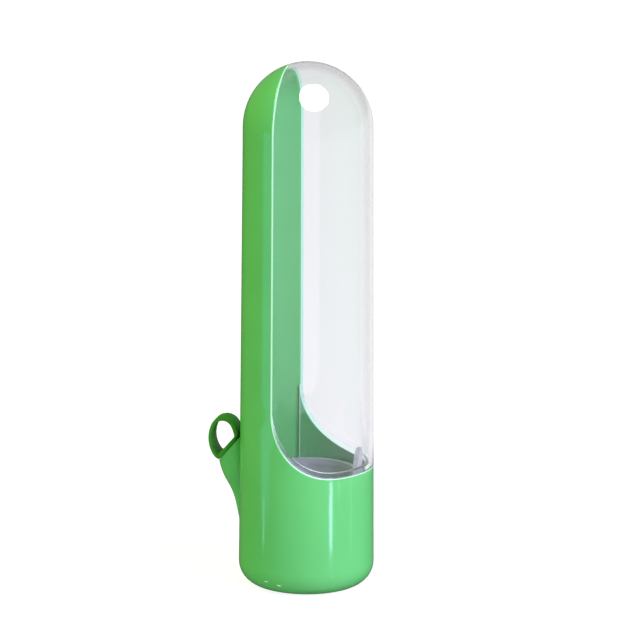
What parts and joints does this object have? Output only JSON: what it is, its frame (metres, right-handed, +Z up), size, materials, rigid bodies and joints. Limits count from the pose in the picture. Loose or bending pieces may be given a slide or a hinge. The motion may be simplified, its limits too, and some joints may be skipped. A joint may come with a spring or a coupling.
{
  "type": "herb keeper",
  "caption": "Tall capsule-shaped keeper: green back and base in one, clear lift-off front, inner stem basket, filler spout with a looped stopper.",
  "frame": {"origin": "centre of the underside, on the capsule's axis", "axes": "+Z up along the capsule; -Y is the front, where the clear cover is; +Y is the back, where the filler spout is"},
  "size_m": [0.0594, 0.0734, 0.236],
  "materials": {
    "shell": "glossy moulded",
    "cover": "clear polished",
    "stopper": "soft satin",
    "basket": "natural translucent",
    "plate": "glossy moulded",
    "seal": "soft matt"
  },
  "bodies": {
    "keeper": {"body_shell": "shell", "base_plate": "plate", "base_seal": "seal"},
    "cover": {"front_cover": "cover"},
    "stopper": {"fill_stopper": "stopper"},
    "basket": {"stem_basket": "basket"}
  },
  "joints": [
    {"name": "cover_lift", "type": "slide", "parent": "keeper", "child": "cover", "axis": [0, 0, 1], "range_m": [0, 0.2]},
    {"name": "stopper_pull", "type": "slide", "parent": "keeper", "child": "stopper", "axis": [0, 0.766, 0.6428], "range_m": [0, 0.03]},
    {"name": "basket_lift", "type": "slide", "parent": "keeper", "child": "basket", "axis": [0, 0, 1], "range_m": [0, 0.11]}
  ]
}
